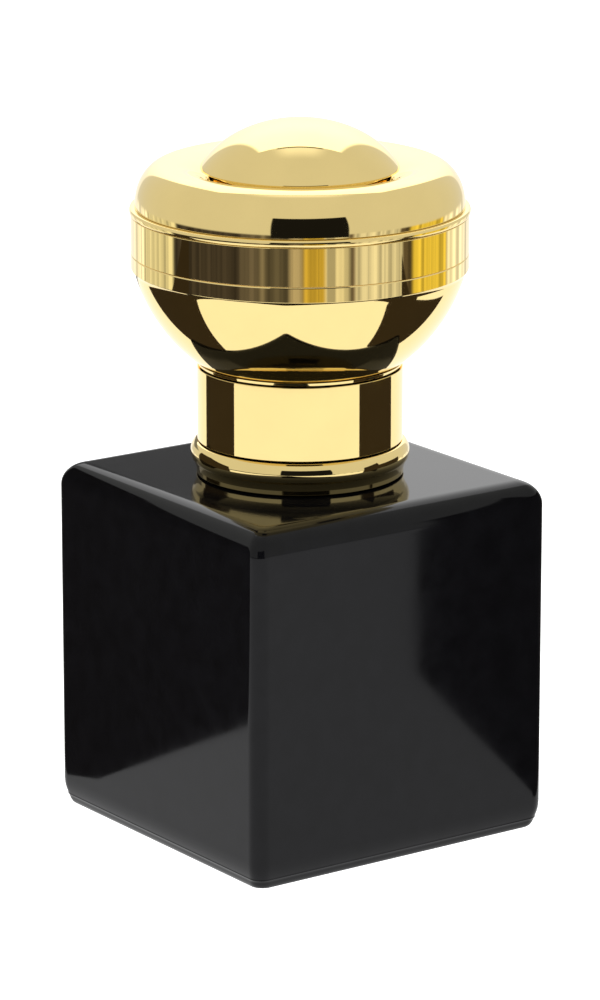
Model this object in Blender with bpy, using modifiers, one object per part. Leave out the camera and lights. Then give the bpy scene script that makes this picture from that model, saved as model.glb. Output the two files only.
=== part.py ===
"""Cube-shaped glass aftershave bottle with a crimped spray pump, a turned collar and a lift-off domed cap.

Run with: blender --background --python part.py, or from Blender's text editor.

The frame is +Z up with the origin at the centre of the base. The front, where the spray nozzle points
while the cap is on, is -Y. Sizes and profile points below are in millimetres, and MM turns them into
metres. A profile point is (radius, height), and a profile runs down its outer side from top to bottom.
"""
import math

import bmesh
import bpy
from mathutils import Matrix

MM = 0.001

# Clearance between a piece and the neighbour that it rests on or is cut around
GAP = 0.3

# Glass bottle: outer cube, walls and crimp neck
BODY_WIDTH = 60.0
BODY_HEIGHT = 61.2
SIDE_RADIUS = 2.4
SHOULDER_RADIUS = 4.0
HEEL_RADIUS = 2.0
WALL = 5.0
BASE_THICKNESS = 8.0
CAVITY_RADIUS = 5.0
PUNT_WIDTH = 46.0
PUNT_DEPTH = 0.8
NECK_RADIUS = 8.6
NECK_BEAD_RADIUS = 10.0
NECK_BORE_RADIUS = 7.25
NECK_TOP = 72.0
NECK_BEAD_BOTTOM = 69.3

# Crimped pump: gasket, ferrule and plastic housing
GASKET_THICKNESS = 0.9
FERRULE_RADIUS = 10.9
FERRULE_WALL = 0.5
FERRULE_BOTTOM = 66.9
FERRULE_HOLE_RADIUS = 4.8
HOUSING_RADIUS = 4.4
HOUSING_BORE = 3.4
HOUSING_FLANGE_RADIUS = 9.4
HOUSING_FLANGE = 1.0
HOUSING_BOTTOM = 42.5
SPRING_SEAT = 51.6
BALL_SEAT = 47.8
BALL_RADIUS = 1.3
DIP_TUBE_RADIUS = 1.45
DIP_TUBE_BORE = 0.75
DIP_TUBE_BOTTOM = 9.5
GUIDE_TOP = 78.0
GUIDE_BOTTOM = 70.2
SEAL_THICKNESS = 1.0

# Pump stem, piston and return spring
STEM_RADIUS = 1.5
STEM_BORE = 0.7
STEM_TOP = 86.0
STEM_HOLE = STEM_RADIUS + GAP
STEM_FLANGE_RADIUS = 2.6
STEM_FLANGE = 1.0
PISTON_RADIUS = 3.1
PISTON_LENGTH = 3.5
PISTON_BOTTOM = 63.8
SPRING_RADIUS = 2.7
SPRING_WIRE = 0.25
SPRING_TURNS = 7
SPRING_POINTS_PER_TURN = 10

# Actuator: plastic button, metal shell and nozzle insert
BUTTON_RADIUS = 7.3
BUTTON_BOTTOM = 81.0
BUTTON_TOP = 94.5
BUTTON_SKIRT_BORE = 5.2
BUTTON_SKIRT_TOP = 84.5
FEED_RADIUS = 0.6
NOZZLE_HEIGHT = 90.0
NOZZLE_RADIUS = 1.3
NOZZLE_BORE_END = 4.0
SHELL_WALL = 0.5
SHELL_WINDOW_RADIUS = 2.0

# Collar: base ring, sleeve and plastic insert with the spigot that the cap slides over
RING_BORE = 14.5
RING_TOP_RADIUS = 17.3
RING_BULGE_RADIUS = 18.55
RING_FOOT_RADIUS = 17.5
RING_TOP = 67.0
COLLAR_RADIUS = 17.4
COLLAR_WALL = 0.6
COLLAR_TOP = 79.9
COLLAR_MOUTH = 12.8
SPIGOT_RADIUS = 12.2
SPIGOT_BORE = 11.3
SPIGOT_TOP = 86.2

# Cap: a spherical bowl, a cylindrical band, a rim, a rounded shoulder and a domed button
CAP_BOTTOM = COLLAR_TOP + GAP
CAP_WALL = 1.5
BOWL_SPHERE_RADIUS = 28.9
BOWL_SPHERE_HEIGHT = 103.9
BOWL_LIP_RADIUS = 17.3
BOWL_LIP_TOP = 80.7
BOWL_MOUTH = 14.0
BAND_RADIUS = 28.4
BAND_BOTTOM = 96.6
BAND_JOINT = 99.2
BAND_TOP = 105.7
RIM_RADIUS = 28.6
RIM_BOTTOM = 106.0
RIM_TOP = 107.2
SHOULDER_CREST_RADIUS = 22.8
SHOULDER_BOTTOM = 107.5
SHOULDER_CREST = 114.4
SHOULDER_OUTER_WIDTH = 4.9
SHOULDER_INNER_WIDTH = 9.0
SHOULDER_INNER_ANGLE = 137.0
SHOULDER_WALL = 1.4
DOME_RADIUS = 16.7
DOME_EDGE = 113.9
DOME_TOP = 121.8
DOME_ELLIPSE_RADIUS = 18.5
DOME_ELLIPSE_HEIGHT = 13.86
DOME_LAND = 0.4
PLINTH_RADIUS = 15.3
PLINTH_BOTTOM = 111.0
STUD_RADIUS = 6.0
CORE_TOP = 105.6
CORE_RADIUS = 26.6
CORE_THICKNESS = 1.4
LINER_RADIUS = 13.7
LINER_TOP = 103.9
LINER_CEILING = 1.2
WEIGHT_BOTTOM = 86.0
WEIGHT_TOP = 91.0

# Roundness of the turned pieces
OUTER_STEPS = 40
INNER_STEPS = 24
FINE_STEPS = 16

# Material looks: colour, roughness, metallic
BLACK_GLASS = ((0.006, 0.006, 0.007), 0.04, 0.0)
GOLD_METAL = ((0.78, 0.62, 0.34), 0.10, 1.0)
SILVER_METAL = ((0.80, 0.80, 0.80), 0.30, 1.0)
SPRING_STEEL = ((0.62, 0.62, 0.64), 0.30, 1.0)
WHITE_PLASTIC = ((0.80, 0.80, 0.78), 0.45, 0.0)
CLEAR_PLASTIC = ((0.72, 0.74, 0.74), 0.25, 0.0)
BLACK_PLASTIC = ((0.02, 0.02, 0.02), 0.40, 0.0)
GREY_RUBBER = ((0.25, 0.25, 0.26), 0.70, 0.0)
CAST_IRON = ((0.20, 0.20, 0.21), 0.55, 1.0)


def clear_scene():
    """Remove every object that the file starts with."""
    for thing in list(bpy.data.objects):
        bpy.data.objects.remove(thing, do_unlink=True)


def make_collection(name):
    """Make a collection in the scene."""
    collection = bpy.data.collections.new(name)
    bpy.context.scene.collection.children.link(collection)
    return collection


def make_material(name, look):
    """Make a Principled material from (colour, roughness, metallic)."""
    color, roughness, metallic = look
    material = bpy.data.materials.new(name)
    material.use_nodes = True
    shader = material.node_tree.nodes["Principled BSDF"]
    shader.inputs["Base Color"].default_value = (*color, 1.0)
    shader.inputs["Roughness"].default_value = roughness
    shader.inputs["Metallic"].default_value = metallic
    return material


def add_part(name, data, look):
    """Add a sub-part with a material of its own."""
    part = bpy.data.objects.new(name, data)
    parts.objects.link(part)
    data.materials.append(make_material(name, look))
    return part


def add_cutter(name, data):
    """Add a shape that only cuts or joins other shapes."""
    cutter = bpy.data.objects.new(name, data)
    cutters.objects.link(cutter)
    cutter.hide_render = True
    cutter.display_type = "WIRE"
    return cutter


def profile_mesh(name, profile):
    """Make the outline of a turned piece at +X, closed into a loop unless it starts on the axis."""
    points = [(radius * MM, 0.0, height * MM) for radius, height in profile]
    edges = [(index, index + 1) for index in range(len(points) - 1)]
    if profile[0][0] > 0:
        edges.append((len(points) - 1, 0))
    mesh = bpy.data.meshes.new(name)
    mesh.from_pydata(points, edges, [])
    return mesh


def turn(piece, steps):
    """Spin a profile about Z."""
    screw = piece.modifiers.new("turn", "SCREW")
    screw.axis = "Z"
    screw.angle = 2 * math.pi
    screw.steps = steps
    screw.render_steps = steps
    screw.use_merge_vertices = True
    screw.merge_threshold = 0.00005
    screw.use_smooth_shade = True
    return piece


def turned_part(name, profile, look, steps):
    """Add a sub-part turned from a profile."""
    return turn(add_part(name, profile_mesh(name, profile), look), steps)


def turned_cutter(name, profile, steps):
    """Add a cutter turned from a profile."""
    return turn(add_cutter(name, profile_mesh(name, profile)), steps)


def block_mesh(name, width, bottom, top):
    """Make a square block that stands on the centre line."""
    mesh = bpy.data.meshes.new(name)
    block = bmesh.new()
    bmesh.ops.create_cube(block, size=1.0)
    bmesh.ops.scale(block, vec=(width * MM, width * MM, (top - bottom) * MM), verts=block.verts)
    bmesh.ops.translate(block, vec=(0, 0, (top + bottom) / 2 * MM), verts=block.verts)
    block.to_mesh(mesh)
    block.free()
    return mesh


def round_block(block, side, top, bottom, segments):
    """Round a block's upright, top and bottom edges, each to its own radius."""
    widest = max(side, top, bottom)
    mesh = block.data
    middle = sum(vertex.co.z for vertex in mesh.vertices) / len(mesh.vertices)
    weights = mesh.attributes.new("bevel_weight_edge", "FLOAT", "EDGE")
    for edge in mesh.edges:
        ends = [mesh.vertices[index].co.z for index in edge.vertices]
        if ends[0] != ends[1]:
            radius = side
        elif ends[0] > middle:
            radius = top
        else:
            radius = bottom
        weights.data[edge.index].value = radius / widest
    bevel = block.modifiers.new("round", "BEVEL")
    bevel.limit_method = "WEIGHT"
    bevel.width = widest * MM
    bevel.segments = segments
    return block


def cross_cylinder(name, radius, start, end, height, steps):
    """Add a cutter that lies along -Y, from start to end, at a height."""
    mesh = bpy.data.meshes.new(name)
    rod = bmesh.new()
    bmesh.ops.create_cone(
        rod, cap_ends=True, segments=steps, radius1=radius * MM, radius2=radius * MM, depth=(end - start) * MM
    )
    rod.to_mesh(mesh)
    rod.free()
    cutter = add_cutter(name, mesh)
    cutter.rotation_euler.x = math.pi / 2
    cutter.location = (0, -(start + end) / 2 * MM, height * MM)
    return cutter


def combine(part, other, operation):
    """Cut another shape from a part, or join it on."""
    boolean = part.modifiers.new(other.name, "BOOLEAN")
    boolean.object = other
    boolean.operation = operation


def arc(centre_radius, centre_height, radius, start, end, count):
    """Points of an arc in a profile, from one angle to another in degrees from the horizontal."""
    points = []
    for index in range(count + 1):
        angle = math.radians(start + (end - start) * index / count)
        points.append((centre_radius + radius * math.cos(angle), centre_height + radius * math.sin(angle)))
    return points


def sphere_angle(radius, height):
    """Angle below the horizontal at which a sphere of the bowl passes a height."""
    return -math.degrees(math.asin((BOWL_SPHERE_HEIGHT - height) / radius))


def add_axis(name, height, pieces):
    """Add an empty on the centre line and parent a moving body's pieces to it."""
    axis = bpy.data.objects.new(name, None)
    axis.location.z = height * MM
    parts.objects.link(axis)
    for piece in pieces:
        piece.parent = axis
        piece.matrix_parent_inverse = Matrix.Translation((0, 0, -height * MM))
    return axis


def glass_bottle():
    """Thick-walled cube with a crimp neck and a shallow recess under its base."""
    mesh = block_mesh("glass_bottle", BODY_WIDTH, 0, BODY_HEIGHT)
    bottle = round_block(add_part("glass_bottle", mesh, BLACK_GLASS), SIDE_RADIUS, SHOULDER_RADIUS, HEEL_RADIUS, 3)
    neck_profile = [
        (0, NECK_TOP),
        (NECK_BEAD_RADIUS - 0.6, NECK_TOP),
        (NECK_BEAD_RADIUS, NECK_TOP - 0.6),
        (NECK_BEAD_RADIUS, NECK_BEAD_BOTTOM),
        (NECK_RADIUS, NECK_BEAD_BOTTOM - 1.6),
        (NECK_RADIUS, BODY_HEIGHT - 1.2),
        (0, BODY_HEIGHT - 1.2),
    ]
    combine(bottle, turned_cutter("neck", neck_profile, INNER_STEPS), "UNION")
    cavity_mesh = block_mesh("cavity", BODY_WIDTH - 2 * WALL, BASE_THICKNESS, BODY_HEIGHT - WALL)
    cavity = round_block(add_cutter("cavity", cavity_mesh), CAVITY_RADIUS, CAVITY_RADIUS, CAVITY_RADIUS, 2)
    combine(bottle, cavity, "DIFFERENCE")
    bore_profile = [
        (0, NECK_TOP + 1),
        (NECK_BORE_RADIUS, NECK_TOP + 1),
        (NECK_BORE_RADIUS, BODY_HEIGHT - WALL - 1),
        (0, BODY_HEIGHT - WALL - 1),
    ]
    combine(bottle, turned_cutter("neck_bore", bore_profile, INNER_STEPS), "DIFFERENCE")
    punt_mesh = block_mesh("punt", PUNT_WIDTH, -1, PUNT_DEPTH)
    combine(bottle, add_cutter("punt", punt_mesh), "DIFFERENCE")


def neck_gasket():
    """Rubber washer between the neck and the pump's flange."""
    bottom = NECK_TOP + GAP
    outer = HOUSING_FLANGE_RADIUS
    inner = HOUSING_RADIUS + GAP
    top = bottom + GASKET_THICKNESS
    turned_part(
        "neck_gasket", [(inner, top), (outer, top), (outer, bottom), (inner, bottom)], GREY_RUBBER, INNER_STEPS
    )


def housing_flange_bottom():
    """Height of the underside of the pump housing's flange."""
    return NECK_TOP + GAP + GASKET_THICKNESS + GAP


def pump_housing():
    """Pump body with a flange on top, a spring seat, a ball seat and a spigot for the dip tube."""
    flange_bottom = housing_flange_bottom()
    flange_top = flange_bottom + HOUSING_FLANGE
    spigot_bore = DIP_TUBE_RADIUS + GAP
    profile = [
        (HOUSING_BORE, flange_top),
        (HOUSING_FLANGE_RADIUS, flange_top),
        (HOUSING_FLANGE_RADIUS, flange_bottom),
        (HOUSING_RADIUS, flange_bottom),
        (HOUSING_RADIUS, SPRING_SEAT - 2.0),
        (spigot_bore + 0.85, BALL_SEAT),
        (spigot_bore + 0.85, HOUSING_BOTTOM),
        (spigot_bore, HOUSING_BOTTOM),
        (spigot_bore, BALL_SEAT - 1.2),
        (0.8, BALL_SEAT - 1.2),
        (0.8, BALL_SEAT),
        (2.0, BALL_SEAT + 1.2),
        (2.0, SPRING_SEAT),
        (HOUSING_BORE, SPRING_SEAT),
    ]
    turned_part("pump_housing", profile, WHITE_PLASTIC, INNER_STEPS)


def crimp_ferrule():
    """Aluminium cup crimped over the pump's flange and under the neck's bead."""
    top = housing_flange_bottom() + HOUSING_FLANGE + GAP + FERRULE_WALL
    inner = FERRULE_RADIUS - FERRULE_WALL
    lip = NECK_RADIUS + 0.6
    profile = [
        (FERRULE_HOLE_RADIUS, top),
        (FERRULE_RADIUS - 0.7, top),
        (FERRULE_RADIUS, top - 0.7),
        (FERRULE_RADIUS, FERRULE_BOTTOM),
        (lip, FERRULE_BOTTOM),
        (lip, FERRULE_BOTTOM + FERRULE_WALL),
        (inner, FERRULE_BOTTOM + FERRULE_WALL),
        (inner, top - FERRULE_WALL),
        (FERRULE_HOLE_RADIUS, top - FERRULE_WALL),
    ]
    turned_part("crimp_ferrule", profile, SILVER_METAL, INNER_STEPS)


def stem_guide():
    """Plug that closes the pump housing and guides the stem."""
    shelf = housing_flange_bottom() + HOUSING_FLANGE + GAP
    plug = HOUSING_BORE - GAP
    profile = [
        (STEM_HOLE, GUIDE_TOP),
        (HOUSING_RADIUS - 0.4, GUIDE_TOP),
        (HOUSING_RADIUS, GUIDE_TOP - 0.4),
        (HOUSING_RADIUS, shelf),
        (plug, shelf),
        (plug, GUIDE_BOTTOM),
        (STEM_HOLE, GUIDE_BOTTOM),
    ]
    turned_part("stem_guide", profile, WHITE_PLASTIC, INNER_STEPS)


def stem_seal():
    """Rubber washer under the stem guide."""
    top = GUIDE_BOTTOM - GAP
    outer = HOUSING_BORE - GAP
    bottom = top - SEAL_THICKNESS
    profile = [(STEM_HOLE, top), (outer, top), (outer, bottom), (STEM_HOLE, bottom)]
    turned_part("stem_seal", profile, GREY_RUBBER, FINE_STEPS)


def dip_tube():
    """Tube from the pump down to just above the bottle's floor."""
    top = BALL_SEAT - 1.2 - GAP
    profile = [
        (DIP_TUBE_BORE, top),
        (DIP_TUBE_RADIUS, top),
        (DIP_TUBE_RADIUS, DIP_TUBE_BOTTOM),
        (DIP_TUBE_BORE, DIP_TUBE_BOTTOM),
    ]
    turned_part("dip_tube", profile, CLEAR_PLASTIC, FINE_STEPS)


def inlet_ball():
    """Steel ball that closes the pump's inlet when the stem goes down."""
    height = BALL_SEAT - 0.8 + math.sqrt(2) * BALL_RADIUS + GAP
    mesh = bpy.data.meshes.new("inlet_ball")
    ball = bmesh.new()
    bmesh.ops.create_uvsphere(ball, u_segments=14, v_segments=8, radius=BALL_RADIUS * MM)
    bmesh.ops.translate(ball, vec=(0, 0, height * MM), verts=ball.verts)
    ball.to_mesh(mesh)
    ball.free()
    mesh.shade_smooth()
    piece = add_part("inlet_ball", mesh, SPRING_STEEL)
    add_axis("inlet_ball_axis", height, [piece])


def return_spring():
    """Coil spring between its seat in the housing and the piston."""
    bottom = SPRING_SEAT + GAP + SPRING_WIRE
    top = PISTON_BOTTOM - GAP - SPRING_WIRE
    count = SPRING_TURNS * SPRING_POINTS_PER_TURN
    curve = bpy.data.curves.new("return_spring", "CURVE")
    curve.dimensions = "3D"
    curve.bevel_depth = SPRING_WIRE * MM
    curve.bevel_resolution = 2
    curve.use_fill_caps = True
    spline = curve.splines.new("POLY")
    spline.points.add(count)
    for index, point in enumerate(spline.points):
        angle = 2 * math.pi * index / SPRING_POINTS_PER_TURN
        height = bottom + (top - bottom) * index / count
        point.co = (SPRING_RADIUS * MM * math.cos(angle), SPRING_RADIUS * MM * math.sin(angle), height * MM, 1)
    return add_part("return_spring", curve, SPRING_STEEL)


def piston():
    """Plastic ring on the stem that seals in the housing's bore."""
    top = PISTON_BOTTOM + PISTON_LENGTH
    profile = [
        (STEM_HOLE, top),
        (PISTON_RADIUS - 0.3, top),
        (PISTON_RADIUS, top - 0.5),
        (PISTON_RADIUS, PISTON_BOTTOM),
        (STEM_HOLE, PISTON_BOTTOM),
    ]
    return turned_part("piston", profile, WHITE_PLASTIC, INNER_STEPS)


def pump_stem():
    """Hollow stem with a flange that stops it under the seal."""
    flange_bottom = PISTON_BOTTOM + PISTON_LENGTH + GAP
    flange_top = flange_bottom + STEM_FLANGE
    profile = [
        (STEM_BORE, STEM_TOP),
        (STEM_RADIUS, STEM_TOP),
        (STEM_RADIUS, flange_top),
        (STEM_FLANGE_RADIUS, flange_top),
        (STEM_FLANGE_RADIUS, flange_bottom),
        (STEM_RADIUS, flange_bottom),
        (STEM_RADIUS, PISTON_BOTTOM),
        (STEM_BORE, PISTON_BOTTOM),
    ]
    return turned_part("pump_stem", profile, WHITE_PLASTIC, FINE_STEPS)


def actuator_button():
    """Plastic button with a socket for the stem, a feed channel and a nozzle bore."""
    socket_top = STEM_TOP + GAP
    profile = [
        (0, BUTTON_TOP),
        (BUTTON_RADIUS - 0.5, BUTTON_TOP),
        (BUTTON_RADIUS, BUTTON_TOP - 0.5),
        (BUTTON_RADIUS, BUTTON_BOTTOM),
        (BUTTON_SKIRT_BORE, BUTTON_BOTTOM),
        (BUTTON_SKIRT_BORE, BUTTON_SKIRT_TOP),
        (STEM_HOLE, BUTTON_SKIRT_TOP),
        (STEM_HOLE, socket_top),
        (FEED_RADIUS, socket_top),
        (FEED_RADIUS, NOZZLE_HEIGHT + FEED_RADIUS),
        (0, NOZZLE_HEIGHT + FEED_RADIUS),
    ]
    button = turned_part("actuator_button", profile, BLACK_PLASTIC, INNER_STEPS)
    bore = cross_cylinder(
        "nozzle_bore", NOZZLE_RADIUS + GAP, NOZZLE_BORE_END, BUTTON_RADIUS + 2, NOZZLE_HEIGHT, INNER_STEPS
    )
    combine(button, bore, "DIFFERENCE")
    feed = cross_cylinder("nozzle_feed", FEED_RADIUS - 0.15, 0.1, NOZZLE_BORE_END + 0.5, NOZZLE_HEIGHT, FINE_STEPS)
    combine(button, feed, "DIFFERENCE")
    return button


def actuator_shell():
    """Metal cup over the button, with a round window for the nozzle."""
    inner = BUTTON_RADIUS + GAP
    outer = inner + SHELL_WALL
    ceiling = BUTTON_TOP + GAP
    top = ceiling + SHELL_WALL
    profile = [
        (0, top),
        (outer - 0.6, top),
        (outer, top - 0.6),
        (outer, BUTTON_BOTTOM),
        (inner, BUTTON_BOTTOM),
        (inner, ceiling),
        (0, ceiling),
    ]
    shell = turned_part("actuator_shell", profile, GOLD_METAL, INNER_STEPS)
    window = cross_cylinder(
        "nozzle_window", SHELL_WINDOW_RADIUS, BUTTON_RADIUS - 1, outer + 1, NOZZLE_HEIGHT, INNER_STEPS
    )
    combine(shell, window, "DIFFERENCE")
    return shell


def nozzle_insert():
    """Small cup pressed into the button, whose orifice breaks the spray up. It is turned, then laid along -Y."""
    front = BUTTON_RADIUS + 0.6
    back = NOZZLE_BORE_END + GAP
    profile = [
        (0.3, front),
        (NOZZLE_RADIUS, front),
        (NOZZLE_RADIUS, back),
        (0.9, back),
        (0.9, front - 0.7),
        (0.3, front - 0.7),
    ]
    insert = turned_part("nozzle_insert", profile, BLACK_PLASTIC, FINE_STEPS)
    insert.rotation_euler.x = math.pi / 2
    insert.location.z = NOZZLE_HEIGHT * MM
    return insert


def collar_base_ring():
    """Bulged trim ring between the glass and the collar's sleeve."""
    bottom = BODY_HEIGHT + GAP
    profile = [
        (RING_BORE, RING_TOP),
        (RING_TOP_RADIUS, RING_TOP),
        (RING_TOP_RADIUS + 0.8, RING_TOP - 0.4),
        (RING_BULGE_RADIUS, RING_TOP - 1.2),
        (RING_BULGE_RADIUS, RING_TOP - 2.2),
        (RING_BULGE_RADIUS - 0.4, RING_TOP - 3.2),
        (RING_FOOT_RADIUS, RING_TOP - 3.7),
        (RING_FOOT_RADIUS, bottom),
        (RING_BORE, bottom),
    ]
    turned_part("collar_base_ring", profile, GOLD_METAL, OUTER_STEPS)


def collar_sleeve():
    """Thin metal sleeve with a rounded top edge and a turned-in top."""
    bottom = RING_TOP + GAP
    profile = [
        (COLLAR_MOUTH, COLLAR_TOP),
        (COLLAR_RADIUS - 0.2, COLLAR_TOP),
        (COLLAR_RADIUS, COLLAR_TOP - 0.2),
        (COLLAR_RADIUS, bottom),
        (COLLAR_RADIUS - COLLAR_WALL, bottom),
        (COLLAR_RADIUS - COLLAR_WALL, COLLAR_TOP - COLLAR_WALL),
        (COLLAR_MOUTH, COLLAR_TOP - COLLAR_WALL),
    ]
    turned_part("collar_sleeve", profile, GOLD_METAL, OUTER_STEPS)


def collar_insert():
    """Plastic insert that grips the ferrule, fills the sleeve and carries the cap's spigot."""
    bottom = RING_TOP + GAP
    shelf = COLLAR_TOP - COLLAR_WALL - GAP
    skirt = COLLAR_RADIUS - COLLAR_WALL - GAP
    profile = [
        (SPIGOT_BORE, SPIGOT_TOP),
        (SPIGOT_RADIUS, SPIGOT_TOP),
        (SPIGOT_RADIUS, shelf),
        (skirt, shelf),
        (skirt, bottom),
        (skirt - 1.2, bottom),
        (skirt - 1.2, shelf - 1.2),
        (SPIGOT_RADIUS + 0.3, shelf - 1.2),
        (SPIGOT_RADIUS + 0.3, bottom),
        (SPIGOT_BORE, bottom),
    ]
    turned_part("collar_insert", profile, BLACK_PLASTIC, OUTER_STEPS)


def cap_bowl():
    """Spherical lower shell of the cap, from the start of the band down to the lip around its mouth."""
    inner_sphere = BOWL_SPHERE_RADIUS - CAP_WALL
    outer_top = sphere_angle(BOWL_SPHERE_RADIUS, BAND_BOTTOM)
    outer_bottom = sphere_angle(BOWL_SPHERE_RADIUS, BOWL_LIP_TOP)
    inner_top = sphere_angle(inner_sphere, BAND_BOTTOM)
    inner_bottom = -math.degrees(math.acos(BOWL_MOUTH / inner_sphere))
    profile = [
        (BAND_RADIUS - CAP_WALL, BAND_JOINT),
        (BAND_RADIUS, BAND_JOINT),
        (BAND_RADIUS, BAND_BOTTOM + 0.3),
        *arc(0, BOWL_SPHERE_HEIGHT, BOWL_SPHERE_RADIUS, outer_top, outer_bottom, 8),
        (BOWL_LIP_RADIUS - 0.2, CAP_BOTTOM),
        (BOWL_MOUTH, CAP_BOTTOM),
        *arc(0, BOWL_SPHERE_HEIGHT, inner_sphere, inner_bottom, inner_top, 6),
    ]
    return turned_part("cap_bowl", profile, GOLD_METAL, OUTER_STEPS)


def cap_band():
    """Plain cylindrical band above the bowl."""
    inner = BAND_RADIUS - CAP_WALL
    bottom = BAND_JOINT + GAP
    profile = [(inner, BAND_TOP), (BAND_RADIUS, BAND_TOP), (BAND_RADIUS, bottom), (inner, bottom)]
    return turned_part("cap_band", profile, GOLD_METAL, OUTER_STEPS)


def cap_rim():
    """Thin rim that stands slightly proud between the band and the shoulder."""
    edge = RIM_RADIUS - 0.2
    inner = RIM_RADIUS - 3.6
    profile = [
        (inner, RIM_TOP),
        (edge, RIM_TOP),
        (RIM_RADIUS, RIM_TOP - 0.2),
        (RIM_RADIUS, RIM_BOTTOM + 0.2),
        (edge, RIM_BOTTOM),
        (inner, RIM_BOTTOM),
    ]
    return turned_part("cap_rim", profile, GOLD_METAL, OUTER_STEPS)


def shoulder_curve(inset, count):
    """Half-oval of the shoulder from its inner edge over the crest to its outer foot, moved in by a wall."""
    points = []
    for index in range(count + 1):
        angle = math.radians(SHOULDER_INNER_ANGLE * (1 - index / count))
        width = SHOULDER_INNER_WIDTH if angle > math.pi / 2 else SHOULDER_OUTER_WIDTH
        height = SHOULDER_CREST - SHOULDER_BOTTOM - inset
        radius = SHOULDER_CREST_RADIUS + (width - inset) * math.cos(angle)
        points.append((radius, SHOULDER_BOTTOM + height * math.sin(angle)))
    return points


def cap_shoulder():
    """Rounded ring-shaped shell around the domed button."""
    profile = shoulder_curve(0, 12) + list(reversed(shoulder_curve(SHOULDER_WALL, 8)))
    return turned_part("cap_shoulder", profile, GOLD_METAL, OUTER_STEPS)


def cap_dome():
    """Domed button on a plinth, with a stud that reaches the cap's core."""
    edge_angle = math.acos(DOME_RADIUS / DOME_ELLIPSE_RADIUS)
    centre = DOME_TOP - DOME_ELLIPSE_HEIGHT
    dome = [(0, DOME_TOP)]
    for index in range(1, 9):
        angle = math.pi / 2 + (edge_angle - math.pi / 2) * index / 8
        dome.append((DOME_ELLIPSE_RADIUS * math.cos(angle), centre + DOME_ELLIPSE_HEIGHT * math.sin(angle)))
    profile = [
        *dome,
        (DOME_RADIUS, DOME_EDGE - DOME_LAND),
        (PLINTH_RADIUS, DOME_EDGE - DOME_LAND),
        (PLINTH_RADIUS, PLINTH_BOTTOM),
        (STUD_RADIUS, PLINTH_BOTTOM),
        (STUD_RADIUS, CORE_TOP + GAP),
        (0, CORE_TOP + GAP),
    ]
    return turned_part("cap_dome", profile, GOLD_METAL, OUTER_STEPS)


def cap_core():
    """Plastic plate and skirt that hold the band, rim, shoulder and dome together."""
    skirt_bottom = BAND_BOTTOM + 1.2
    profile = [
        (0, CORE_TOP),
        (CORE_RADIUS, CORE_TOP),
        (CORE_RADIUS, skirt_bottom),
        (CORE_RADIUS - CORE_THICKNESS, skirt_bottom),
        (CORE_RADIUS - CORE_THICKNESS, CORE_TOP - CORE_THICKNESS),
        (0, CORE_TOP - CORE_THICKNESS),
    ]
    return turned_part("cap_core", profile, BLACK_PLASTIC, OUTER_STEPS)


def cap_liner():
    """Plastic cup inside the cap that slides over the collar's spigot and clears the actuator."""
    inner = SPIGOT_RADIUS + GAP
    bottom = CAP_BOTTOM + GAP
    profile = [
        (0, LINER_TOP),
        (LINER_RADIUS, LINER_TOP),
        (LINER_RADIUS, bottom),
        (inner, bottom),
        (inner, LINER_TOP - LINER_CEILING),
        (0, LINER_TOP - LINER_CEILING),
    ]
    return turned_part("cap_liner", profile, BLACK_PLASTIC, OUTER_STEPS)


def cap_weight():
    """Iron ring between the liner and the bowl that gives the cap its heft."""
    inner_sphere = BOWL_SPHERE_RADIUS - CAP_WALL
    inner = LINER_RADIUS + GAP
    top_radius = math.sqrt(inner_sphere**2 - (BOWL_SPHERE_HEIGHT - WEIGHT_TOP) ** 2) - 2 * GAP
    bottom_radius = math.sqrt(inner_sphere**2 - (BOWL_SPHERE_HEIGHT - WEIGHT_BOTTOM) ** 2) - 2 * GAP
    profile = [
        (inner, WEIGHT_TOP),
        (top_radius, WEIGHT_TOP),
        (bottom_radius, WEIGHT_BOTTOM),
        (inner, WEIGHT_BOTTOM),
    ]
    return turned_part("cap_weight", profile, CAST_IRON, INNER_STEPS)


clear_scene()
parts = make_collection("aftershave_bottle")
cutters = make_collection("cutters")

glass_bottle()
neck_gasket()
pump_housing()
crimp_ferrule()
stem_guide()
stem_seal()
dip_tube()
inlet_ball()
collar_base_ring()
collar_sleeve()
collar_insert()

stem_axis = add_axis("pump_stem_axis", PISTON_BOTTOM, [return_spring(), piston(), pump_stem()])
button_axis = add_axis("actuator_axis", STEM_TOP, [actuator_button(), actuator_shell(), nozzle_insert()])
button_axis.parent = stem_axis
button_axis.matrix_parent_inverse = Matrix.Translation((0, 0, -PISTON_BOTTOM * MM))

cap_pieces = [
    cap_bowl(),
    cap_band(),
    cap_rim(),
    cap_shoulder(),
    cap_dome(),
    cap_core(),
    cap_liner(),
    cap_weight(),
]
add_axis("cap_axis", CAP_BOTTOM, cap_pieces)
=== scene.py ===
"""Looks of the cube-shaped aftershave bottle: black glass, a polished gold collar and a domed gold cap.

Every length is in metres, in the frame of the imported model. Places and radii come from its nodes' boxes.
A profile point is (radius, height, fillet), and a profile runs down its outer side from top to bottom.
"""

import math

import bmesh
import bpy
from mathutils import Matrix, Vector


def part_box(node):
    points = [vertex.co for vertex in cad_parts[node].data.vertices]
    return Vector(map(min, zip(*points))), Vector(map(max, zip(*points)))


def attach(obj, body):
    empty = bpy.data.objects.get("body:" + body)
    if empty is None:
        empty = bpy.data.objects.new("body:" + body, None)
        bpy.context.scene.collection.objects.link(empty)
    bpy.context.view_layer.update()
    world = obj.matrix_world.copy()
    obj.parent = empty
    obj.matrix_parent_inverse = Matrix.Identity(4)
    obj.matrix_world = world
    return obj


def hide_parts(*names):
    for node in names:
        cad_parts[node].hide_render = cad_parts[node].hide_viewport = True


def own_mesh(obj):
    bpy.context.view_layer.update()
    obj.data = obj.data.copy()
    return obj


MM = 0.001

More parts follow.
